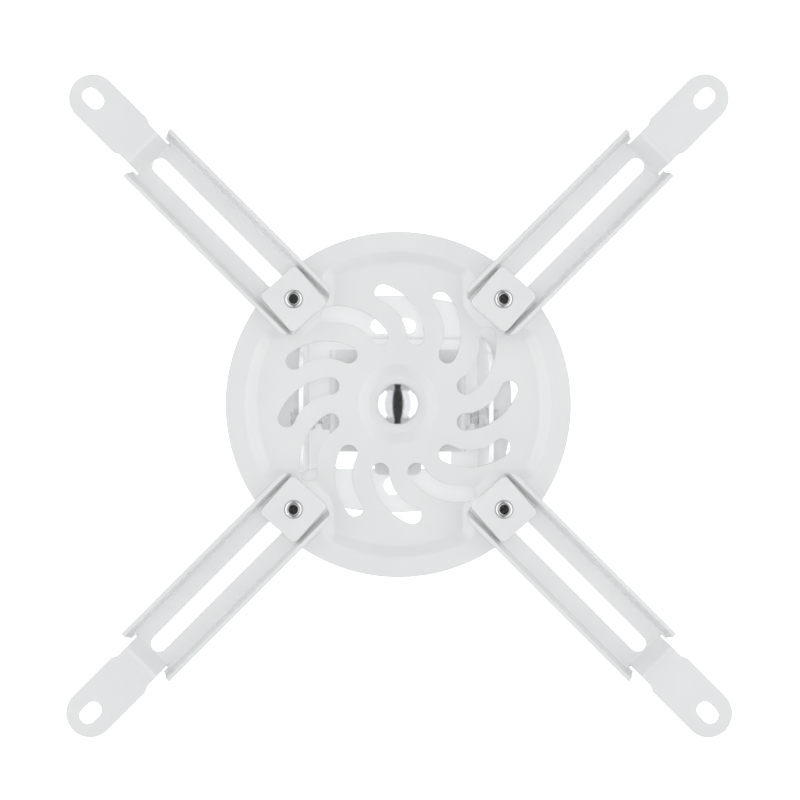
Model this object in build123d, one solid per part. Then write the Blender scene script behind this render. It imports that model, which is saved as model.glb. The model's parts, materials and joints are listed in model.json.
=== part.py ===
from build123d import *
import math
import os

os.makedirs("parts", exist_ok=True)

# A projector ceiling mount, modelled as it hangs, in millimetres
# The origin is the middle of the face that lies against the ceiling, and +Z points up
# -Y is the side with the upper yoke's back wall, and the yoke is open towards +Y

# Clearances
RUNNING_GAP = 0.1       # between flat faces that turn or slide on each other
SHAFT_CLEARANCE = 0.08  # radial, round a shaft that turns in its hole
BOLT_CLEARANCE = 0.25   # radial, round a bolt that is only clamped
THREAD_CLEARANCE = 0.03  # radial, between a nut and its bolt
HEAD_CLEARANCE = 0.2    # radial, round a screw's head in its counterbore
CLAMP_GAP = 0.85        # between a clamp that lies straight and each flange's foot
TIP_LENGTH = 1.5        # how far a bolt stands out of its nut
SAME_PLACE = 1e-3       # two heights or points this near are one

# Ceiling plate
CEILING_SHEET = 2.5
CEILING_HALF_X = 69.5   # to the middle of a bulged side
CEILING_HALF_Y = 63.7
CEILING_BULGE = 11.0    # how far a side's middle stands out past its ends
CEILING_CORNER = 13.0
FIXING_SLOT_LENGTH = 26.3
FIXING_SLOT_WIDTH = 8.8
FIXING_SLOT_Y = -45.7
FIXING_HOLE = 11.0
FIXING_HOLE_Y = 48.0
WINDOW_LENGTH = 67.6
WINDOW_Y_LOW = 26.0
WINDOW_Y_HIGH = 38.2
WINDOW_CORNER = 2.0

# Upper yoke
YOKE_SHEET = 2.5
UPPER_INNER_HALF = 49.2  # middle to the inner face of a side wall
UPPER_HALF_Y = 38.0      # half width at the top
UPPER_FOOT_BACK = -26.0  # lower edge of a side wall
UPPER_FOOT_FRONT = 36.0
UPPER_SHOULDER = 24.0    # how far down the walls keep their full width
UPPER_DEPTH = 73.5       # underside of the ceiling plate to the walls' lower edge
UPPER_BEND = 4.0         # outer radius between the top and the walls
UPPER_FOOT_RADIUS = 12.0
UPPER_SHOULDER_RADIUS = 8.0

# Tilt axis and its lock
DROP = 120.0            # ceiling to the lower face of the spider plate's ring
PIVOT_RISE = 54.0       # tilt axis above the ring's lower face
PIVOT_Y = 8.0
LOCK_RADIUS = 20.0      # from the tilt axis up to the lock bolt
TILT_RANGE = 15.0       # degrees each way

# Lower yoke
LOWER_OUTER_HALF = 34.5  # middle to the outer face of a side wall
LOWER_BACK = -27.3       # back and front edge of the base
LOWER_FRONT = 24.1
TONGUE_FRONT = 35.7      # front edge of the tongue on the base
TONGUE_WIDTH = 23.5
TONGUE_CORNER = 3.0
LOWER_BEND = 3.5         # outer bend radius
LOWER_SHOULDER = 12.0    # height of the walls' straight part above the base
EAR_RADIUS = 10.0

# Spider plate
SPIDER_SHEET = 2.5
SPIDER_RADIUS = 85.7
DISH_RADIUS = 76.0      # where the ring turns into the dish
DISH_RISE = 4.5
DISH_RUN = 5.2          # width of the sloping step seen from below
PAD_SIDE = 37.6         # middle to a pad's straight side
PAD_INNER = 62.0        # middle to a pad's inner edge, along the diagonal
PAD_CORNER = 8.0
SEAT_RADIUS = 20.0      # where the floor turns into the centre seat
SEAT_RISE = 3.2
SEAT_RUN = 5.5
STAMP_FILLET = 2.2      # rounding of the stamped steps
VANE_COUNT = 12
VANE_WIDTH = 8.6
VANE_INNER = 34.9       # middle to a slot's inner end centre
VANE_OUTER = 56.2       # middle to a slot's outer end centre
VANE_SWEEP = 22.5       # degrees from a slot's inner end back to its outer end
VANE_ARC = 25.4         # radius of a slot's centreline
VANE_SIDE = 1           # side of the line between the ends on which the arc's centre lies
VANE_START = 15.0       # degrees, inner end of the first slot

# Arms
ARM_COUNT = 4
ARM_FIRST_ANGLE = 45.0
ARM_SHEET = 2.0
ARM_FLANGE = 8.0        # overall height of the channel
ARM_LEAN = 18.0         # degrees that a flange leans outward
ARM_BEND = 1.0          # inner bend radius
ARM_INNER_END = 61.0    # distances along an arm are from the plate's middle
ARM_CHANNEL_END = 175.0
ARM_END_CORNER = 6.0
ARM_SLOT_WIDTH = 8.0
ARM_SLOT_LAND = 8.0     # centre of the slot's outer end to the channel's end
ARM_SLOT_SPARE = 1.5    # slot beyond the screw when the arm is fully out
JOG_RUN = 6.0
JOG_DROP = 11.9
JOG_BEND = 1.6          # inner bend radius of the jog
NECK_WIDTH = 20.6
NECK_LENGTH = 10.2      # from the channel's end to where the neck has widened to the tab
NECK_TAPER = 2.6
RELIEF_WIDTH = 1.0
RELIEF_LENGTH = 3.0     # cut on both sides of the neck, back into the channel
TAB_WIDTH = 23.4
TAB_REACH = 35.9        # channel's end to the hole's centre
TAB_HOLE_WIDTH = 8.0
TAB_HOLE_LENGTH = 12.2

# Clamps
SCREW_RADIUS = 72.9     # middle of the plate to each clamp screw
CLAMP_WIDTH = 23.2
CLAMP_LENGTH = 24.7
CLAMP_THICKNESS = 5.4
CLAMP_CORNER = 2.5
CLAMP_EDGE = 0.7
CLAMP_YAW = 3.5         # degrees that each clamp has turned in its channel
COUNTERBORE_DEPTH = 4.0

# Fasteners
M5 = 5.0
M5_HEAD = 8.5
M5_HEAD_HEIGHT = 5.0
M5_SOCKET = 4.0
M5_SOCKET_DEPTH = 2.6
M5_NUT = 8.0
M5_NUT_HEIGHT = 4.7
M5_FLANGE = 11.6
M5_FLANGE_HEIGHT = 1.2
M6 = 6.0
M6_HEX = 10.0
M6_HEAD_HEIGHT = 4.0
M6_NUT_HEIGHT = 5.0
M6_LOCK_NUT_HEIGHT = 6.0
M6_WASHER = 12.0
M8 = 8.0
M8_DOME = 20.6
M8_DOME_HEIGHT = 4.9
M8_NECK = 8.0
M8_HEX = 13.0
M8_LOCK_NUT_HEIGHT = 8.0
M8_WASHER = 16.0
WASHER_THICKNESS = 1.6
COLLAR_HEIGHT = 1.6     # rounded collar on a lock nut
SWIVEL_WASHER = 30.0
SWIVEL_WASHER_THICKNESS = 1.0

# Heights that follow from the sizes above
RING_LOW = -DROP
RING_TOP = RING_LOW + SPIDER_SHEET
FLOOR_LOW = RING_LOW + DISH_RISE
FLOOR_TOP = FLOOR_LOW + SPIDER_SHEET
SEAT_LOW = FLOOR_LOW + SEAT_RISE
SEAT_TOP = SEAT_LOW + SPIDER_SHEET
LOWER_LOW = SEAT_TOP + RUNNING_GAP + SWIVEL_WASHER_THICKNESS
LOWER_FLOOR = LOWER_LOW + YOKE_SHEET
PIVOT_Z = RING_LOW + PIVOT_RISE
LOCK_Z = PIVOT_Z + LOCK_RADIUS
UPPER_TOP = -CEILING_SHEET
UPPER_LOW = UPPER_TOP - UPPER_DEPTH
ARM_TOP = RING_LOW - RUNNING_GAP
CLAMP_TOP = ARM_TOP - ARM_SHEET - RUNNING_GAP

# Lengths and widths that follow
ARM_SLOT_OUTER = ARM_CHANNEL_END - ARM_SLOT_LAND
NECK_START = ARM_CHANNEL_END - RELIEF_LENGTH
TAB_START = ARM_CHANNEL_END + NECK_LENGTH
TAB_HOLE_CENTRE = ARM_CHANNEL_END + TAB_REACH
FLANGE_FOOT = CLAMP_WIDTH / 2 + CLAMP_GAP
M5_COUNTERBORE = M5_HEAD + 2 * HEAD_CLEARANCE

FROM_BELOW = (Align.CENTER, Align.CENTER, Align.MIN)
FROM_ABOVE = (Align.CENTER, Align.CENTER, Align.MAX)


def rod(radius, low, high):
    """A round bar along Z between two heights."""
    return Pos(0, 0, low) * Cylinder(radius, high - low, align=FROM_BELOW)


def disc_with_hole(diameter, bore, thickness):
    """A washer on the XY plane, growing along +Z."""
    return extrude(Circle(diameter / 2) - Circle(bore / 2), amount=thickness)


def hexagon(across_flats, height):
    """A six-sided bar with its corners turned off at the far end."""
    bar = extrude(RegularPolygon(across_flats / 2, 6, major_radius=False), amount=height)
    corner = across_flats / math.sqrt(3)
    turned = Cylinder(corner, height, align=FROM_BELOW)
    turned = chamfer(turned.edges().sort_by(Axis.Z)[-1], 0.3 * (corner - across_flats / 2) + 0.2, 0.6)
    return bar & turned


def nut(across_flats, height, size):
    """A hexagon nut on the XY plane, growing along +Z."""
    return hexagon(across_flats, height) - rod(size / 2 + THREAD_CLEARANCE, 0, height)


def lock_nut(across_flats, height, size):
    """A nut with a plain round collar that holds its locking ring."""
    body = hexagon(across_flats, height - COLLAR_HEIGHT)
    body += rod(0.46 * across_flats, height - COLLAR_HEIGHT, height)
    return body - rod(size / 2 + THREAD_CLEARANCE, 0, height)


def beside(side, z):
    """A frame on the tilt hardware's line at height z, whose Z axis points outward on that side."""
    return Plane(origin=(0, PIVOT_Y, z), x_dir=(0, 1, 0), z_dir=(side, 0, 0)).location


def ceiling_plate():
    """A sheet with bulged sides, a fixing slot, a fixing hole and a cable window."""
    end_x = CEILING_HALF_X - CEILING_BULGE
    end_y = CEILING_HALF_Y - CEILING_BULGE
    sides = [
        ThreePointArc((-end_x, -end_y), (0, -CEILING_HALF_Y), (end_x, -end_y)),
        ThreePointArc((end_x, -end_y), (CEILING_HALF_X, 0), (end_x, end_y)),
        ThreePointArc((end_x, end_y), (0, CEILING_HALF_Y), (-end_x, end_y)),
        ThreePointArc((-end_x, end_y), (-CEILING_HALF_X, 0), (-end_x, -end_y)),
    ]
    outline = make_face(Curve() + sides)
    outline = fillet(outline.vertices(), CEILING_CORNER)
    outline -= Pos(0, FIXING_SLOT_Y) * SlotOverall(FIXING_SLOT_LENGTH, FIXING_SLOT_WIDTH)
    outline -= Pos(0, FIXING_HOLE_Y) * Circle(FIXING_HOLE / 2)
    middle = (WINDOW_Y_LOW + WINDOW_Y_HIGH) / 2
    outline -= Pos(0, middle) * RectangleRounded(
        WINDOW_LENGTH, WINDOW_Y_HIGH - WINDOW_Y_LOW, WINDOW_CORNER)
    return Pos(0, 0, -CEILING_SHEET) * extrude(outline, amount=CEILING_SHEET)


def upper_yoke():
    """A folded U bracket, open downward, with tapered side walls."""
    outer_half = UPPER_INNER_HALF + YOKE_SHEET
    low = UPPER_TOP - UPPER_DEPTH
    middle = (UPPER_TOP + low) / 2
    outer = Pos(0, middle) * Rectangle(2 * outer_half, UPPER_DEPTH)
    outer = fillet(outer.vertices().group_by(Axis.Y)[-1], UPPER_BEND)
    inner = Pos(0, middle - YOKE_SHEET) * Rectangle(2 * UPPER_INNER_HALF, UPPER_DEPTH)
    inner = fillet(inner.vertices().group_by(Axis.Y)[-1], UPPER_BEND - YOKE_SHEET)
    bracket = extrude(Plane.XZ * (outer - inner), amount=UPPER_HALF_Y, both=True)
    shoulder = UPPER_TOP - UPPER_SHOULDER
    side = Polygon(
        (UPPER_FOOT_BACK, low), (UPPER_FOOT_FRONT, low), (UPPER_HALF_Y, shoulder),
        (UPPER_HALF_Y, UPPER_TOP), (-UPPER_HALF_Y, UPPER_TOP), (-UPPER_HALF_Y, shoulder),
        align=None)
    levels = side.vertices().group_by(Axis.Y)
    side = fillet(levels[0], UPPER_FOOT_RADIUS)
    back = [v for v in side.vertices() if abs(v.Y - shoulder) < 1e-4 and v.X < 0]
    side = fillet(back, UPPER_SHOULDER_RADIUS)
    bracket &= extrude(Plane.YZ * side, amount=outer_half, both=True)
    notch = UPPER_HALF_Y - WINDOW_Y_LOW + WINDOW_CORNER
    bracket -= Pos(0, WINDOW_Y_LOW + notch / 2, UPPER_TOP) * extrude(
        RectangleRounded(WINDOW_LENGTH, notch, WINDOW_CORNER), amount=-YOKE_SHEET)
    bracket -= Pos(0, UPPER_HALF_Y, UPPER_TOP) * extrude(
        Rectangle(WINDOW_LENGTH, 2 * WINDOW_CORNER), amount=-YOKE_SHEET)
    for way in (-1, 1):
        bracket -= beside(way, PIVOT_Z) * rod(M6 / 2 + BOLT_CLEARANCE, 0, 2 * outer_half)
        bracket -= beside(way, PIVOT_Z) * tilt_slot(way)
    return bracket


def tilt_slot(way):
    """The curved slot that the lock bolt runs in, as a cutter through one side wall."""
    width = M6 + 2 * BOLT_CLEARANCE
    up = 90.0 * way
    sweep = CenterArc((0, 0), LOCK_RADIUS, up - TILT_RANGE, 2 * TILT_RANGE)
    return extrude(SlotArc(sweep, width), amount=UPPER_INNER_HALF + 2 * YOKE_SHEET)


def lower_yoke():
    """A folded U bracket with rounded ears and a front tongue that carries the spider plate."""
    half = LOWER_OUTER_HALF
    top = LOCK_Z + EAR_RADIUS
    channel = Pos(0, (LOWER_LOW + top) / 2) * Rectangle(2 * half, top - LOWER_LOW)
    channel = fillet(channel.vertices().group_by(Axis.Y)[0], LOWER_BEND)
    inside = Pos(0, (LOWER_FLOOR + top) / 2 + EAR_RADIUS) * Rectangle(
        2 * (half - YOKE_SHEET), top - LOWER_FLOOR + 2 * EAR_RADIUS)
    inside = fillet(inside.vertices().group_by(Axis.Y)[0], LOWER_BEND - YOKE_SHEET)
    bracket = extrude(Plane.XZ * (channel - inside), amount=-LOWER_BACK, both=True)
    shoulder = LOWER_FLOOR + LOWER_SHOULDER
    side = Polygon(
        (LOWER_BACK, LOWER_LOW), (LOWER_FRONT, LOWER_LOW), (LOWER_FRONT, shoulder),
        (PIVOT_Y + EAR_RADIUS, PIVOT_Z - EAR_RADIUS), (PIVOT_Y + EAR_RADIUS, LOCK_Z),
        (PIVOT_Y - EAR_RADIUS, LOCK_Z), (PIVOT_Y - EAR_RADIUS, PIVOT_Z - EAR_RADIUS),
        (LOWER_BACK, shoulder), align=None)
    side += Pos(PIVOT_Y, LOCK_Z) * Circle(EAR_RADIUS)
    bracket &= extrude(Plane.YZ * side, amount=half, both=True)
    tongue = Pos(0, TONGUE_FRONT / 2) * RectangleRounded(TONGUE_WIDTH, TONGUE_FRONT, TONGUE_CORNER)
    bracket += Pos(0, 0, LOWER_LOW) * extrude(tongue, amount=YOKE_SHEET)
    bracket -= rod(M8 / 2 + SHAFT_CLEARANCE, LOWER_LOW, LOWER_FLOOR)
    for way in (-1, 1):
        bracket -= beside(way, PIVOT_Z) * rod(M6 / 2 + SHAFT_CLEARANCE, 0, half)
        bracket -= beside(way, LOCK_Z) * rod(M6 / 2 + THREAD_CLEARANCE, 0, half)
    return bracket


def hex_bolt(head_low, end):
    """An M6 bolt along Z whose head starts at head_low and whose shank ends at end."""
    head = Pos(0, 0, head_low) * hexagon(M6_HEX, M6_HEAD_HEIGHT)
    return head + rod(M6 / 2, end, head_low)


def tilt_bolt_parts(side, z, outer_gap, inner_gap, head_washer):
    """One tilt bolt with the nuts and washers along it, from the outside in."""
    frame = beside(side, z)
    outer_face = UPPER_INNER_HALF + YOKE_SHEET + outer_gap
    head_low = outer_face + (WASHER_THICKNESS if head_washer else 0)
    washer_low = LOWER_OUTER_HALF - YOKE_SHEET - inner_gap - WASHER_THICKNESS
    lock_low = washer_low - M6_LOCK_NUT_HEIGHT
    washer = disc_with_hole(M6_WASHER, M6 + 2 * THREAD_CLEARANCE, WASHER_THICKNESS)
    spacing = nut(M6_HEX, M6_NUT_HEIGHT, M6)
    lock = Pos(0, 0, washer_low) * (Rotation(180, 0, 0) * lock_nut(M6_HEX, M6_LOCK_NUT_HEIGHT, M6))
    washers = [frame * (Pos(0, 0, washer_low) * washer)]
    if head_washer:
        washers.append(frame * (Pos(0, 0, outer_face) * washer))
    wall_nut = Pos(0, 0, UPPER_INNER_HALF - outer_gap - M6_NUT_HEIGHT) * spacing
    yoke_nut = Pos(0, 0, LOWER_OUTER_HALF + inner_gap) * spacing
    return {
        "bolt": frame * hex_bolt(head_low, lock_low - TIP_LENGTH),
        "nuts": [frame * wall_nut, frame * yoke_nut],
        "washers": washers,
        "lock": frame * lock,
    }


def dish_outline():
    """Outline of the dish at the ring's level: a disc with four pads left standing in it."""
    far = SPIDER_RADIUS
    slant = math.sqrt(2) * PAD_INNER - PAD_SIDE
    pad = Polygon((PAD_SIDE, slant), (PAD_SIDE, far), (far, far), (far, PAD_SIDE),
                  (slant, PAD_SIDE), align=None)
    outline = Circle(DISH_RADIUS)
    for turn in range(ARM_COUNT):
        outline -= Rotation(0, 0, turn * 360 / ARM_COUNT) * pad
    return fillet(outline.vertices(), PAD_CORNER)


def wall_shift(run, rise):
    """How much wider the upper side of a stamped step is than its lower side."""
    return SPIDER_SHEET * (math.hypot(run, rise) - run) / rise


def vane_cutter():
    """One curved slot of the spider plate, bulging to the side that its outer end leads to."""
    start_x, start_y = polar(VANE_INNER, VANE_START)
    end_x, end_y = polar(VANE_OUTER, VANE_START - VANE_SWEEP)
    half_x = (end_x - start_x) / 2
    half_y = (end_y - start_y) / 2
    half_chord = math.hypot(half_x, half_y)
    reach = math.sqrt(VANE_ARC ** 2 - half_chord ** 2) / half_chord
    middle_x = start_x + half_x + half_y * reach * VANE_SIDE
    middle_y = start_y + half_y - half_x * reach * VANE_SIDE
    first = math.degrees(math.atan2(start_y - middle_y, start_x - middle_x))
    sweep = 2 * math.degrees(math.asin(half_chord / VANE_ARC)) * -VANE_SIDE
    slot = SlotArc(CenterArc((middle_x, middle_y), VANE_ARC, first, sweep), VANE_WIDTH)
    return Pos(0, 0, RING_LOW) * extrude(slot, amount=DISH_RISE + SPIDER_SHEET)


def polar(radius, angle):
    """A point at a radius and an angle in degrees."""
    return (radius * math.cos(math.radians(angle)), radius * math.sin(math.radians(angle)))


def spider_plate():
    """The stamped round plate with its ring, pads, floor, seat and curved slots."""
    outline = dish_outline()
    taper = math.degrees(math.atan(DISH_RUN / DISH_RISE))
    shift = wall_shift(DISH_RUN, DISH_RISE)
    raised = Pos(0, 0, RING_TOP) * extrude(offset(outline, shift), amount=DISH_RISE, taper=taper)
    pocket = Pos(0, 0, RING_LOW) * extrude(outline, amount=DISH_RISE, taper=taper)
    plate = rod(SPIDER_RADIUS, RING_LOW, RING_TOP) + raised - pocket
    seat_shift = wall_shift(SEAT_RUN, SEAT_RISE)
    plate += Pos(0, 0, FLOOR_TOP) * Cone(
        SEAT_RADIUS + seat_shift, SEAT_RADIUS + seat_shift - SEAT_RUN, SEAT_RISE, align=FROM_BELOW)
    plate -= Pos(0, 0, FLOOR_LOW) * Cone(
        SEAT_RADIUS, SEAT_RADIUS - SEAT_RUN, SEAT_RISE, align=FROM_BELOW)
    plate = round_steps(plate)
    for turn in range(VANE_COUNT):
        plate -= Rotation(0, 0, turn * 360 / VANE_COUNT) * vane_cutter()
    neck = M8_NECK + 2 * THREAD_CLEARANCE
    plate -= Pos(0, 0, SEAT_LOW) * extrude(Rectangle(neck, neck), amount=SPIDER_SHEET)
    for angle in arm_angles():
        x, y = polar(SCREW_RADIUS, angle)
        plate -= Pos(x, y, 0) * rod(M5 / 2 + BOLT_CLEARANCE, RING_LOW, RING_TOP)
    return plate


def round_steps(plate):
    """Rounds the plate where its steps begin and end, on both sides of the sheet."""
    for level in (RING_LOW, FLOOR_LOW, SEAT_LOW, RING_TOP, FLOOR_TOP, SEAT_TOP):
        edges = [
            edge for edge in plate.edges()
            if abs(edge.bounding_box().min.Z - level) < SAME_PLACE
            and abs(edge.bounding_box().max.Z - level) < SAME_PLACE
            and edge.bounding_box().max.X ** 2 + edge.bounding_box().max.Y ** 2
            < 2 * SPIDER_RADIUS ** 2 - 1
        ]
        plate = fillet(edges, STAMP_FILLET)
    return plate


def arm_angles():
    """The four diagonals, in degrees."""
    return [ARM_FIRST_ANGLE + turn * 360 / ARM_COUNT for turn in range(ARM_COUNT)]


def channel_section():
    """Section of an arm across its length, with its flanges pointing down."""
    inner_tip, tip = flange_tip()
    foot = tip - ARM_FLANGE * math.tan(math.radians(ARM_LEAN))
    section = Polygon(
        (-tip, -ARM_FLANGE), (-inner_tip, -ARM_FLANGE), (-FLANGE_FOOT, -ARM_SHEET),
        (FLANGE_FOOT, -ARM_SHEET), (inner_tip, -ARM_FLANGE), (tip, -ARM_FLANGE), (foot, 0),
        (-foot, 0), align=None)
    section = fillet(section.vertices().group_by(Axis.Y)[-1], ARM_BEND + ARM_SHEET)
    inner = [v for v in section.vertices() if abs(v.Y + ARM_SHEET) < SAME_PLACE
             and abs(v.X) < FLANGE_FOOT + SAME_PLACE]
    return fillet(inner, ARM_BEND)


def flange_tip():
    """Half widths of an arm at its flanges' tips: inside and outside."""
    lean = math.radians(ARM_LEAN)
    inner_tip = FLANGE_FOOT + (ARM_FLANGE - ARM_SHEET) * math.tan(lean)
    return inner_tip, inner_tip + ARM_SHEET / math.cos(lean)


def jog_profile():
    """Side view of the neck, the jog and the tab, as one bent strip."""
    turn = math.atan2(JOG_DROP, JOG_RUN)
    back = ARM_SHEET * math.tan(turn / 2)
    start = NECK_START - 2 * ARM_SHEET
    bend = NECK_START
    land = bend + JOG_RUN
    tip = TAB_HOLE_CENTRE + TAB_WIDTH
    profile = Polygon(
        (start, 0), (bend, 0), (land, -JOG_DROP), (tip, -JOG_DROP), (tip, -JOG_DROP - ARM_SHEET),
        (land - back, -JOG_DROP - ARM_SHEET), (bend - back, -ARM_SHEET), (start, -ARM_SHEET),
        align=None)
    outer = [v for v in profile.vertices() if (abs(v.X - bend) < SAME_PLACE and abs(v.Y) < SAME_PLACE)
             or (abs(v.X - land + back) < SAME_PLACE and v.Y < -JOG_DROP)]
    profile = fillet(outer, ARM_SHEET + JOG_BEND)
    inner = [v for v in profile.vertices()
             if abs(v.X - land) < SAME_PLACE or abs(v.X - bend + back) < SAME_PLACE]
    return fillet(inner, JOG_BEND)


def tab_plan():
    """Plan of the neck and the tab, with the tab's full round end."""
    start = NECK_START - 2 * ARM_SHEET
    neck = NECK_WIDTH / 2
    half = TAB_WIDTH / 2
    plan = Polygon(
        (start, -neck), (TAB_START - NECK_TAPER, -neck), (TAB_START, -half), (TAB_HOLE_CENTRE, -half),
        (TAB_HOLE_CENTRE, half), (TAB_START, half), (TAB_START - NECK_TAPER, neck), (start, neck),
        align=None)
    corners = [v for v in plan.vertices() if start < v.X < TAB_HOLE_CENTRE]
    plan = fillet(corners, NECK_TAPER)
    plan += Pos(TAB_HOLE_CENTRE, 0) * Circle(half)
    return plan - Pos(TAB_HOLE_CENTRE, 0) * SlotOverall(TAB_HOLE_LENGTH, TAB_HOLE_WIDTH)


def arm():
    """One arm along +X: a slotted channel, a jog and a tab, folded from one sheet."""
    length = ARM_CHANNEL_END - ARM_INNER_END
    channel = extrude(Plane(origin=(ARM_INNER_END, 0, 0), x_dir=(0, 1, 0), z_dir=(1, 0, 0))
                      * channel_section(), amount=length)
    width = 2 * flange_tip()[1]
    plan = Pos(ARM_INNER_END + length / 2, 0) * Rectangle(length, width)
    plan = fillet(plan.vertices().group_by(Axis.X)[0], ARM_END_CORNER)
    notch_width = NECK_WIDTH + 2 * RELIEF_WIDTH
    plan -= Pos(NECK_START + RELIEF_LENGTH / 2, 0) * Rectangle(RELIEF_LENGTH, notch_width)
    channel &= extrude(plan, amount=-ARM_FLANGE)
    strip = extrude(Plane.XZ * jog_profile(), amount=TAB_WIDTH, both=True)
    strip &= extrude(tab_plan(), amount=-(JOG_DROP + ARM_SHEET))
    slot_inner = SCREW_RADIUS - ARM_SLOT_SPARE
    slot_middle = (slot_inner + ARM_SLOT_OUTER) / 2
    slot = SlotCenterToCenter(ARM_SLOT_OUTER - slot_inner, ARM_SLOT_WIDTH)
    return channel + strip - extrude(Pos(slot_middle, 0) * slot, amount=-ARM_FLANGE)


def clamp():
    """One clamp block, centred on its screw, growing down from the XY plane."""
    block = extrude(RectangleRounded(CLAMP_LENGTH, CLAMP_WIDTH, CLAMP_CORNER), amount=-CLAMP_THICKNESS)
    faces = block.faces().sort_by(Axis.Z)
    block = fillet(faces[0].edges() + faces[-1].edges(), CLAMP_EDGE)
    block -= rod(M5_COUNTERBORE / 2, -CLAMP_THICKNESS, COUNTERBORE_DEPTH - CLAMP_THICKNESS)
    return block - rod(M5 / 2 + SHAFT_CLEARANCE, -CLAMP_THICKNESS, 0)


def clamp_screw():
    """A socket head screw whose head sits in the clamp and whose tip passes the nut."""
    seat = CLAMP_TOP - CLAMP_THICKNESS + COUNTERBORE_DEPTH - RUNNING_GAP
    tip = RING_TOP + M5_NUT_HEIGHT + TIP_LENGTH
    head = rod(M5_HEAD / 2, seat - M5_HEAD_HEIGHT, seat)
    socket = RegularPolygon(M5_SOCKET / 2, 6, major_radius=False)
    head -= Pos(0, 0, seat - M5_HEAD_HEIGHT) * extrude(socket, amount=M5_SOCKET_DEPTH)
    return head + rod(M5 / 2, seat, tip)


def clamp_nut():
    """A flanged nut that stands on the back of the spider plate."""
    body = hexagon(M5_NUT, M5_NUT_HEIGHT) + rod(M5_FLANGE / 2, 0, M5_FLANGE_HEIGHT)
    return Pos(0, 0, RING_TOP) * (body - rod(M5 / 2 + THREAD_CLEARANCE, 0, M5_NUT_HEIGHT))


def centre_bolt():
    """A carriage bolt: a dome below the seat, a square neck in it and a shank above."""
    sphere = (M8_DOME ** 2 / 4 + M8_DOME_HEIGHT ** 2) / (2 * M8_DOME_HEIGHT)
    dome = Pos(0, 0, SEAT_LOW - M8_DOME_HEIGHT + sphere) * Sphere(sphere)
    dome &= rod(M8_DOME / 2 + 1, SEAT_LOW - M8_DOME_HEIGHT, SEAT_LOW)
    neck = Pos(0, 0, SEAT_LOW) * extrude(Rectangle(M8_NECK, M8_NECK), amount=SPIDER_SHEET)
    nut_low = LOWER_FLOOR + WASHER_THICKNESS + RUNNING_GAP
    return dome + neck + rod(M8 / 2, SEAT_TOP, nut_low + M8_LOCK_NUT_HEIGHT + TIP_LENGTH)


def write(name, solids):
    """Writes one named piece, or a group of like pieces, as a STEP file."""
    shape = solids if not isinstance(solids, list) else Compound(children=solids)
    shape.label = name
    export_step(shape, f"parts/{name}.step")


def main():
    write("ceiling_plate", ceiling_plate())
    write("upper_yoke", upper_yoke())
    write("lower_yoke", lower_yoke())
    pivots = [tilt_bolt_parts(side, PIVOT_Z, 0, RUNNING_GAP, False) for side in (-1, 1)]
    locks = [tilt_bolt_parts(side, LOCK_Z, RUNNING_GAP, 0, True) for side in (-1, 1)]
    for group, parts in (("pivot", pivots), ("tilt_lock", locks)):
        for name, part in zip(("left", "right"), parts):
            write(f"{group}_bolt_{name}", part["bolt"])
            write(f"{group}_spacing_nuts_{name}", part["nuts"])
        write(f"{group}_washers", [washer for part in parts for washer in part["washers"]])
        write(f"{group}_nuts", [part["lock"] for part in parts])
    write("spider_plate", spider_plate())
    write("centre_bolt", centre_bolt())
    swivel = disc_with_hole(SWIVEL_WASHER, M8 + 2 * BOLT_CLEARANCE, SWIVEL_WASHER_THICKNESS)
    write("swivel_washer", Pos(0, 0, SEAT_TOP + RUNNING_GAP) * swivel)
    top_washer = disc_with_hole(M8_WASHER, M8 + 2 * SHAFT_CLEARANCE, WASHER_THICKNESS)
    write("centre_washer", Pos(0, 0, LOWER_FLOOR) * top_washer)
    centre_nut = lock_nut(M8_HEX, M8_LOCK_NUT_HEIGHT, M8)
    nut_low = LOWER_FLOOR + WASHER_THICKNESS + RUNNING_GAP
    write("centre_lock_nut", Pos(0, 0, nut_low) * centre_nut)
    places = ("front_right", "front_left", "back_left", "back_right")
    yaws = (CLAMP_YAW, -CLAMP_YAW, CLAMP_YAW, -CLAMP_YAW)
    blank = arm()
    block = clamp()
    screw = clamp_screw()
    flanged = clamp_nut()
    for place, angle, yaw in zip(places, arm_angles(), yaws):
        turned = Rotation(0, 0, angle)
        spot = turned * Pos(SCREW_RADIUS, 0, 0)
        write(f"arm_{place}", turned * (Pos(0, 0, ARM_TOP) * blank))
        write(f"clamp_{place}", spot * Pos(0, 0, CLAMP_TOP) * Rotation(0, 0, yaw) * block)
        write(f"clamp_screw_{place}", spot * screw)
        write(f"clamp_nut_{place}", spot * flanged)


main()
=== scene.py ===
import json
import math

import bmesh
import bpy
from mathutils import Matrix, Vector


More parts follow.
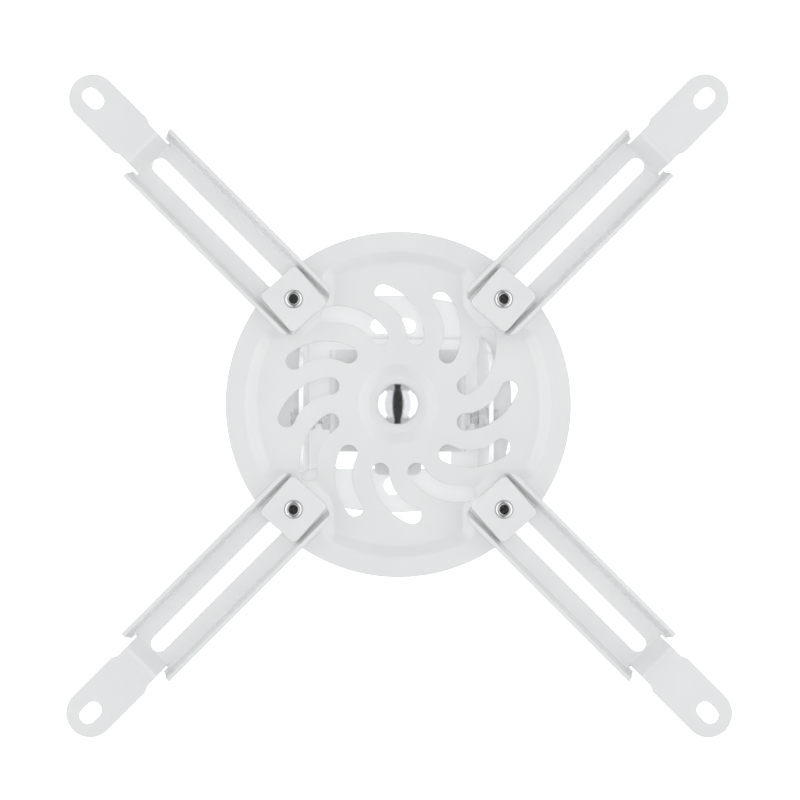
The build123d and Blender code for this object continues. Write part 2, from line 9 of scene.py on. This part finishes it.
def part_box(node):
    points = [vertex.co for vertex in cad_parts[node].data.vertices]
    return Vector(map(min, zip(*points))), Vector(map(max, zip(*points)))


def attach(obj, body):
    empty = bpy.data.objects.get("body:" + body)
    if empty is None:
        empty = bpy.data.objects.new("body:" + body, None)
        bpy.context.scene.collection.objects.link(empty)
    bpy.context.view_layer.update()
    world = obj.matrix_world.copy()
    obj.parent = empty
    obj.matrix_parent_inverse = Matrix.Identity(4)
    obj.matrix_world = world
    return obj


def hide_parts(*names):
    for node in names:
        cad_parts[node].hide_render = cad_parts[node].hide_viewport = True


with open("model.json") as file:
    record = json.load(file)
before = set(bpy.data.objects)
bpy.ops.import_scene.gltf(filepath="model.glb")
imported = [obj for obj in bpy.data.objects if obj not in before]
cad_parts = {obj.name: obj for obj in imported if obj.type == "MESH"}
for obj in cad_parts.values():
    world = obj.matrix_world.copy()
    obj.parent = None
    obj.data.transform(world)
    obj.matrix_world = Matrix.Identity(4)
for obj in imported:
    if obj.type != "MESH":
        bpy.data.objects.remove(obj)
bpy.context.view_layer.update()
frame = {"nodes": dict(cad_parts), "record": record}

# The scene is in metres. The fasteners' sizes below are in millimetres.
MM = 0.001
AROUND = 72             # points in every ring of a turned or six-sided piece
SHARP_FROM = 32         # degrees between two faces from which their edge stays sharp

# Threads: radius and pitch
M5 = (2.5, 0.8)
M6 = (3.0, 1.0)
M8 = (4.0, 1.25)

# A point in the plate, at which the lamps outside the mount aim
PLATE = (0, 0, -0.12)


# Materials
class Nodes:
    """A material's node tree with short calls to add and link nodes."""

    def __init__(self, name):
        self.material = bpy.data.materials.new(name)
        self.material.use_nodes = True
        self.tree = self.material.node_tree
        self.shader = self.tree.nodes["Principled BSDF"]

    def add(self, kind, **settings):
        node = self.tree.nodes.new(kind)
        for key, value in settings.items():
            setattr(node, key, value)
        return node

    def link(self, source, target):
        self.tree.links.new(source, target)

    def noise(self, scale, detail):
        """Noise over the piece's own coordinates, in metres."""
        place = self.add("ShaderNodeTexCoord")
        texture = self.add("ShaderNodeTexNoise")
        texture.inputs["Scale"].default_value = scale
        texture.inputs["Detail"].default_value = detail
        self.link(place.outputs["Object"], texture.inputs["Vector"])
        return texture.outputs["Fac"]

    def ramp(self, source, *stops):
        """A colour ramp over a value, from (position, colour) pairs."""
        node = self.add("ShaderNodeValToRGB")
        while len(node.color_ramp.elements) < len(stops):
            node.color_ramp.elements.new(0.5)
        for element, (position, colour) in zip(node.color_ramp.elements, stops):
            element.position = position
            element.color = (*colour, 1.0)
        self.link(source, node.inputs["Fac"])
        return node.outputs["Color"]

    def spread(self, source, low, high):
        """A value stretched from the middle of a noise's range to low..high."""
        node = self.add("ShaderNodeMapRange")
        node.inputs["From Min"].default_value = 0.3
        node.inputs["From Max"].default_value = 0.7
        node.inputs["To Min"].default_value = low
        node.inputs["To Max"].default_value = high
        self.link(source, node.inputs["Value"])
        return node.outputs["Result"]

    def bump(self, source, depth, strength, normal=None):
        node = self.add("ShaderNodeBump")
        node.inputs["Strength"].default_value = strength
        node.inputs["Distance"].default_value = depth
        self.link(source, node.inputs["Height"])
        if normal is not None:
            self.link(normal, node.inputs["Normal"])
        return node.outputs["Normal"]

    def rounded(self, radius):
        """A normal that rounds the piece's edges by a radius in metres."""
        node = self.add("ShaderNodeBevel", samples=6)
        node.inputs["Radius"].default_value = radius
        return node.outputs["Normal"]

    def put(self, name, value):
        self.shader.inputs[name].default_value = value

    def wire(self, name, source):
        self.link(source, self.shader.inputs[name])


def powder_coat():
    """White powder coat: fine orange peel, faint clouding and a soft sheen."""
    m = Nodes("white_powder_coat")
    m.wire("Base Color", m.ramp(m.noise(28.0, 3.0),
                                (0.30, (0.795, 0.800, 0.802)),
                                (0.70, (0.825, 0.830, 0.830))))
    m.wire("Roughness", m.spread(m.noise(90.0, 4.0), 0.32, 0.42))
    peel = m.bump(m.noise(900.0, 2.0), 0.00005, 0.35, m.rounded(0.0005))
    grain = m.bump(m.noise(3200.0, 1.0), 0.00001, 0.30, peel)
    m.wire("Normal", grain)
    m.put("Coat Weight", 0.60)
    m.put("Coat Roughness", 0.20)
    m.put("Specular IOR Level", 0.50)
    return m.material


def zinc():
    """Zinc plate of the nuts and bolts: cloudy grey, slightly frosted and scuffed."""
    m = Nodes("zinc_plate")
    m.wire("Base Color", m.ramp(m.noise(260.0, 5.0),
                                (0.30, (0.60, 0.61, 0.62)),
                                (0.55, (0.72, 0.73, 0.74)),
                                (0.75, (0.80, 0.80, 0.79))))
    m.wire("Roughness", m.spread(m.noise(700.0, 4.0), 0.26, 0.44))
    m.wire("Normal", m.bump(m.noise(1500.0, 3.0), 0.00003, 0.30, m.rounded(0.00025)))
    m.put("Metallic", 0.45)
    return m.material


def bright_zinc():
    """The clamp screws' finish, brighter and smoother than that of the nuts and bolts."""
    m = Nodes("bright_zinc")
    m.wire("Base Color", m.ramp(m.noise(900.0, 3.0),
                                (0.3, (0.84, 0.85, 0.86)),
                                (0.7, (0.93, 0.93, 0.92))))
    m.wire("Roughness", m.spread(m.noise(1100.0, 4.0), 0.12, 0.24))
    m.wire("Normal", m.bump(m.noise(1500.0, 3.0), 0.00003, 0.30, m.rounded(0.00015)))
    m.put("Metallic", 0.75)
    return m.material


def painted_socket_shade():
    """The inside of a screw's socket, painted dark as the shade deep in that recess, with a
    faint random mottling.
    """
    m = Nodes("socket_painted_shade")
    m.wire("Base Color", m.ramp(m.noise(900.0, 3.0),
                                (0.35, (0.025, 0.025, 0.026)),
                                (0.70, (0.15, 0.15, 0.15))))
    m.wire("Roughness", m.spread(m.noise(1200.0, 3.0), 0.45, 0.65))
    m.wire("Normal", m.bump(m.noise(2500.0, 2.0), 0.00002, 0.3))
    m.put("Metallic", 0.4)
    return m.material


def chrome():
    """Polished chrome with the faint waviness of a forged head."""
    m = Nodes("polished_chrome")
    m.wire("Base Color", m.ramp(m.noise(300.0, 3.0),
                                (0.35, (0.80, 0.81, 0.83)),
                                (0.65, (0.88, 0.89, 0.90))))
    m.wire("Roughness", m.spread(m.noise(500.0, 5.0), 0.10, 0.18))
    waves = m.bump(m.noise(260.0, 2.0), 0.00012, 0.45)
    m.wire("Normal", m.bump(m.noise(1600.0, 3.0), 0.00003, 0.35, waves))
    m.put("Metallic", 1.0)
    return m.material


def nylon():
    """The locking ring of a nut: translucent, faintly blue nylon."""
    m = Nodes("nylon_ring")
    m.wire("Base Color", m.ramp(m.noise(600.0, 2.0),
                                (0.3, (0.60, 0.66, 0.74)),
                                (0.7, (0.68, 0.73, 0.79))))
    m.wire("Roughness", m.spread(m.noise(800.0, 3.0), 0.35, 0.50))
    m.wire("Normal", m.bump(m.noise(2000.0, 2.0), 0.00002, 0.2))
    m.put("Subsurface Weight", 0.2)
    m.put("Subsurface Scale", 0.001)
    return m.material


MATERIALS = {
    "white_powder_coat": powder_coat(),
    "zinc_plate": zinc(),
    "polished_chrome": chrome(),
}
NYLON = nylon()
BRIGHT_ZINC = bright_zinc()
# the inside of the screw sockets: a material painted dark as shade
SOCKET_PAINTED_SHADE = painted_socket_shade()


def dress_cad():
    """Gives every CAD node the material of its slot."""
    slots = {part["node"]: part["material_slot"] for part in frame["record"]["subparts"]}
    for name, obj in frame["nodes"].items():
        obj.data.materials.clear()
        obj.data.materials.append(MATERIALS[slots[name]])


# Pieces built ring by ring
def piece(name, rings, place, body, material, closed=True, painted_shade_bands=0):
    """Skins a stack of rings, all with as many points, and puts it on a body.

    The first bands, as many as the last parameter gives, and the cap before them, are the
    inside of a socket, which gets a second material painted dark as the shade in that recess.
    """
    mesh = bmesh.new()
    rows = [[mesh.verts.new(place @ (Vector(point) * MM)) for point in ring] for ring in rings]
    count = len(rows[0])
    for band, (low, high) in enumerate(zip(rows, rows[1:])):
        for i in range(count):
            j = (i + 1) % count
            face = mesh.faces.new((low[i], low[j], high[j], high[i]))
            face.material_index = int(band < painted_shade_bands)
    if closed:
        cap = mesh.faces.new(list(reversed(rows[0])))
        cap.material_index = int(painted_shade_bands > 0)
        mesh.faces.new(rows[-1])
    bmesh.ops.recalc_face_normals(mesh, faces=mesh.faces)
    data = bpy.data.meshes.new(name)
    mesh.to_mesh(data)
    mesh.free()
    data.materials.append(material)
    if painted_shade_bands:
        # second material: painted shade for the inside of the socket
        data.materials.append(SOCKET_PAINTED_SHADE)
    obj = bpy.data.objects.new(name, data)
    bpy.context.scene.collection.objects.link(obj)
    data.polygons.foreach_set("use_smooth", [True] * len(data.polygons))
    data.set_sharp_from_angle(angle=math.radians(SHARP_FROM))
    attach(obj, body)
    return obj


def angles():
    return [2 * math.pi * i / AROUND for i in range(AROUND)]


def circle(radius, z):
    return [(radius * math.cos(a), radius * math.sin(a), z) for a in angles()]


def hex_reach(angle, flats):
    """Distance from the middle to a hexagon's side in one direction."""
    off = (angle + math.pi / 6) % (math.pi / 3) - math.pi / 6
    return flats / 2 / math.cos(off)


def hex_ring(flats, z):
    ring = []
    for a in angles():
        reach = hex_reach(a, flats)
        ring.append((reach * math.cos(a), reach * math.sin(a), z))
    return ring


def square_ring(side, z, corner):
    """A square whose corners are drawn in to a circle of that radius."""
    ring = []
    for a in angles():
        reach = side / 2 / max(abs(math.cos(a)), abs(math.sin(a)))
        reach = min(reach, corner)
        ring.append((reach * math.cos(a), reach * math.sin(a), z))
    return ring


def chamfered_hex(flats, low, high):
    """Rings of a hexagon bar, from its turned off top corners down to its foot."""
    rim = 0.475 * flats
    slope = 0.55
    crown = []
    for a in angles():
        reach = hex_reach(a, flats)
        z = high - (reach - rim) * slope
        crown.append((reach * math.cos(a), reach * math.sin(a), z))
    return [circle(rim, high), crown, hex_ring(flats, low)]


def thread(major, pitch, low, high):
    """Rings of a screw thread between two heights, each with the helix cut into it."""
    depth = 0.60 * pitch
    inset = 0.02            # keeps the crests inside the plain bolt
    crest, flank = 0.12, 0.70
    ends = 0.8              # share of the depth to which the thread runs out
    step = math.copysign(pitch / 8, high - low)
    count = int(abs(high - low) / abs(step))
    rings = []
    for k in range(count + 1):
        z = low + k * step
        run_out = min(1.0, min(abs(z - low), abs(z - high)) / pitch)
        ring = []
        for i, a in enumerate(angles()):
            phase = (z / pitch - i / AROUND) % 1.0
            cut = 1.0 - abs(2.0 * phase - 1.0)
            cut = min(1.0, max(0.0, (cut - crest) / flank))
            radius = major - inset - depth * (cut * run_out + (1 - run_out) * ends)
            ring.append((radius * math.cos(a), radius * math.sin(a), z))
        rings.append(ring)
    return rings


def outward(side, y, z):
    """A frame on the tilt hardware's line whose Z axis points outward on that side."""
    turn = Matrix(((0, 0, side, 0), (1, 0, 0, 0), (0, side, 0, 0), (0, 0, 0, 1)))
    return Matrix.Translation((0, y, z)) @ turn


def tilt_bolts():
    """Hexagon bolts with rolled threads in place of the plain ones."""
    radius, pitch = M6
    head = 4.0              # height of the head
    flats = 10.0            # width across its sides
    hollow = 0.35           # depth of the hollow in its top
    collar, collar_radius = 0.25, 4.6
    plain = 2.5             # shank before the thread
    for group, body in (("pivot_bolt", "ceiling_bracket"), ("tilt_lock_bolt", "tilt_head")):
        for side, name in ((-1, "left"), (1, "right")):
            node = f"{group}_{name}"
            low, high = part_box(node)
            place = outward(side, (low.y + high.y) / 2, (low.z + high.z) / 2)
            tip, top = sorted((abs(low.x) / MM, abs(high.x) / MM))
            seat = top - head
            rings = [circle(0.5, top - hollow), circle(3.0, top - hollow), circle(3.5, top)]
            rings += chamfered_hex(flats, seat + collar, top)
            rings += [circle(collar_radius, seat + collar), circle(collar_radius, seat),
                      circle(radius, seat), circle(radius, seat - plain)]
            rings += thread(radius, pitch, seat - plain, tip + 0.8)
            rings += [circle(2.45, tip + 0.7), circle(2.0, tip), circle(0.4, tip)]
            bolt = piece(f"{node}_threaded", rings, place, body,
                         MATERIALS["zinc_plate"])
            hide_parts(node)


def carriage_bolt():
    """The centre bolt with its polished dome, square neck and rolled thread."""
    shank, pitch = M8
    head = 4.9              # height of the head
    rise = 3.9              # height of its dome, above which a small rim follows
    dome_rings = 22
    neck, neck_corner, neck_end = 8.0, 5.3, 2.5
    low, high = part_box("centre_bolt")
    radius = (high.x - low.x) / 2 / MM
    bottom = low.z / MM
    top = high.z / MM
    seat = bottom + head
    sphere = (radius ** 2 + rise ** 2) / (2 * rise)
    limit = math.asin(radius / sphere)
    rings = []
    for k in range(1, dome_rings + 1):
        turn = limit * k / dome_rings
        rings.append(circle(sphere * math.sin(turn), bottom + sphere * (1 - math.cos(turn))))
    rings += [circle(radius, bottom + rise + 0.35), circle(radius - 0.25, bottom + rise + 0.7),
              circle(radius - 0.6, seat), square_ring(neck, seat, neck_corner),
              square_ring(neck, seat + neck_end, neck_corner), circle(shank, seat + neck_end)]
    rings += thread(shank, pitch, seat + 2.6, top - 1.0)
    rings += [circle(3.35, top - 0.9), circle(2.7, top), circle(0.5, top)]
    bolt = piece("centre_bolt_polished", rings, Matrix.Identity(4), "spider",
                 MATERIALS["polished_chrome"])
    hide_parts("centre_bolt")


def socket_screws():
    """Socket head screws with a rounded rim, a knurled side and a chamfered socket."""
    shank, pitch = M5
    head = 5.0              # height of the head
    land = 2.75             # radius of the flat ring round the socket
    rim_width, rim_height, rim_steps = 1.5, 1.1, 7
    socket = 4.0            # width across the socket's sides
    knurl_depth = 0.12
    for corner in ("front_right", "front_left", "back_left", "back_right"):
        node = f"clamp_screw_{corner}"
        low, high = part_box(node)
        place = Matrix.Translation(((low.x + high.x) / 2, (low.y + high.y) / 2, 0))
        face = low.z / MM
        seat = face + head
        tip = high.z / MM
        rings = [circle(0.15, face + 3.1), hex_ring(socket, face + 2.6),
                 hex_ring(socket, face + 0.45), circle(2.5, face + 0.12), circle(land, face)]
        for k in range(1, rim_steps + 1):
            turn = math.pi / 2 * k / rim_steps
            rings.append(circle(land + rim_width * math.sin(turn),
                                face + rim_height * (1 - math.cos(turn))))
        knurl = []
        for i, a in enumerate(angles()):
            reach = land + rim_width - knurl_depth * (i % 2)
            knurl.append((reach * math.cos(a), reach * math.sin(a)))
        for z in (face + rim_height, seat - 0.3):
            rings.append([(x, y, z) for x, y in knurl])
        rings += [circle(4.0, seat), circle(shank, seat), circle(shank, seat + 0.8)]
        rings += thread(shank, pitch, seat + 0.8, tip - 0.7)
        rings += [circle(2.05, tip - 0.6), circle(1.6, tip), circle(0.3, tip)]
        # the socket's first three bands and its cap are painted dark as shade
        screw = piece(f"{node}_threaded", rings, place, "spider", BRIGHT_ZINC,
                      painted_shade_bands=3)
        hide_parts(node)


def nylon_ring(name, inner, outer, z, way, place, body):
    """A thin ring that shows at the mouth of a lock nut's collar."""
    rings = [circle(inner, z - way * 0.3), circle(inner, z + way * 0.05),
             circle((inner + outer) / 2, z + way * 0.14), circle(outer, z + way * 0.04),
             circle(outer, z - way * 0.3)]
    piece(name, rings, place, body, NYLON, closed=False)


def nylon_rings():
    _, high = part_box("centre_lock_nut")
    nylon_ring("nylon_ring_centre", 4.02, 5.2, high.z / MM, 1, Matrix.Identity(4), "spider")
    head_gap = 1.5          # from the bolt's head to the mouth of its nut
    for node, bolt, body in (("pivot_nuts", "pivot_bolt_left", "ceiling_bracket"),
                             ("tilt_lock_nuts", "tilt_lock_bolt_left", "tilt_head")):
        low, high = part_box(bolt)
        y, z = (low.y + high.y) / 2, (low.z + high.z) / 2
        mouth = abs(high.x) / MM + head_gap
        for side, name in ((-1, "left"), (1, "right")):
            nylon_ring(f"nylon_ring_{node}_{name}", 3.02, 3.95, mouth, -1,
                       outward(side, y, z), body)


# The studio
def flat(name, size, centre, face_down):
    """A square sheet used as a floor, backdrop, flag or card."""
    mesh = bmesh.new()
    half = size / 2
    corners = [(-half, -half), (half, -half), (half, half), (-half, half)]
    if face_down:
        corners.reverse()
    mesh.faces.new([mesh.verts.new((x + centre[0], y + centre[1], centre[2]))
                    for x, y in corners])
    data = bpy.data.meshes.new(name)
    mesh.to_mesh(data)
    mesh.free()
    obj = bpy.data.objects.new(name, data)
    bpy.context.scene.collection.objects.link(obj)
    return obj


def glowing(name, base, strength):
    """A white glow over a base of one grey."""
    m = Nodes(name)
    m.put("Base Color", (base, base, base, 1))
    m.put("Emission Color", (1, 1, 1, 1))
    m.put("Emission Strength", strength)
    return m.material


def grounds():
    """A pale floor far below the mount and a white backdrop far above it."""
    floor = flat("floor", 14.0, (0, 0, -1.6), False)
    pale = Nodes("pale_floor")
    pale.wire("Base Color", pale.ramp(pale.noise(2.0, 3.0),
                                      (0.3, (0.70, 0.70, 0.70)),
                                      (0.7, (0.73, 0.73, 0.73))))
    pale.put("Roughness", 0.8)
    floor.data.materials.append(pale.material)
    backdrop = flat("backdrop", 3.4, (0, 0, 3.0), True)
    backdrop.data.materials.append(glowing("white_backdrop", 1, 1.05))


def reflectors():
    """Black flags and glowing white cards that show in reflections only."""
    cloth = Nodes("black_cloth")
    cloth.put("Base Color", (0.03, 0.03, 0.03, 1))
    cloth.put("Roughness", 0.9)
    black = cloth.material
    card = glowing("white_card", 0, 1.30)
    upright = math.pi / 2
    for name, place, turn, wide, long, look in (
        ("flag_below", (0, 0, -1.0), (0, 0, 0), 0.62, 3.4, black),
        ("flag_back", (0, -1.7, -0.35), (upright, 0, 0), 0.6, 1.3, black),
        ("flag_front", (0, 1.7, -0.35), (upright, 0, 0), 0.6, 1.3, black),
        ("card_left", (-0.95, 0, -0.50), (0, upright, 0), 0.8, 2.2, card),
        ("card_right", (0.95, 0, -0.50), (0, upright, 0), 0.8, 2.2, card),
    ):
        sheet = flat(name, 1.0, (0, 0, 0), False)
        sheet.location = place
        sheet.rotation_euler = turn
        sheet.scale = (wide, long, 1.0)
        sheet.visible_camera = False
        sheet.visible_diffuse = False
        sheet.visible_shadow = False
        sheet.data.materials.append(look)


def lights():
    """Even world light, soft panels at the sides, a small lamp at the camera and three
    small ones inside the mount, which brighten what shows through the plate's slots."""
    world = bpy.data.worlds.new("studio")
    bpy.context.scene.world = world
    world.use_nodes = True
    background = world.node_tree.nodes["Background"]
    background.inputs["Color"].default_value = (0.98, 0.99, 1.0, 1)
    background.inputs["Strength"].default_value = 0.68
    for name, place, aim, power, wide, high, in_gloss in (
        ("panel_left", (-0.95, 0.0, -0.50), PLATE, 1.3, 2.2, 0.8, False),
        ("panel_right", (0.95, 0.0, -0.50), PLATE, 1.4, 2.2, 0.8, False),
        ("fill_left", (-0.85, 0.0, -1.25), PLATE, 2.2, 3.4, 0.7, True),
        ("fill_right", (0.85, 0.0, -1.25), PLATE, 2.8, 3.4, 0.7, True),
        ("camera_light", (-0.0161, -0.0010, -0.762), PLATE, 1.05, 0.07, 0.07, False),
        ("inner_light", (0.0, 0.0, -0.090), (0, 0, 0), 0.028, 0.05, 0.12, False),
        ("inner_left", (-0.042, 0.0, -0.104), (-0.042, 0, 0), 0.007, 0.012, 0.10, False),
        ("inner_right", (0.042, 0.0, -0.104), (0.042, 0, 0), 0.007, 0.012, 0.10, False),
    ):
        data = bpy.data.lights.new(name, "AREA")
        data.shape = "RECTANGLE"
        data.size = wide
        data.size_y = high
        data.energy = power
        lamp = bpy.data.objects.new(name, data)
        bpy.context.scene.collection.objects.link(lamp)
        lamp.location = place
        way = Vector(aim) - Vector(place)
        lamp.rotation_euler = way.to_track_quat("-Z", "Y").to_euler()
        lamp.visible_camera = False
        lamp.visible_glossy = in_gloss
    bpy.context.scene.view_settings.view_transform = "Standard"


def camera():
    """The photograph's view: from below, straight along the mount's axis."""
    data = bpy.data.cameras.new("camera")
    data.sensor_width = 36.0
    data.lens = 58.06
    data.shift_x = 0.0427
    data.shift_y = -0.0290
    data.clip_end = 30.0
    obj = bpy.data.objects.new("camera", data)
    bpy.context.scene.collection.objects.link(obj)
    lean = math.radians(1.12)
    obj.location = (-0.0161, -0.0010, -0.760)
    obj.rotation_euler = (math.pi + lean, 0.0, 0.0)
    bpy.context.scene.camera = obj


dress_cad()
tilt_bolts()
carriage_bolt()
socket_screws()
nylon_rings()
grounds()
reflectors()
lights()
camera()
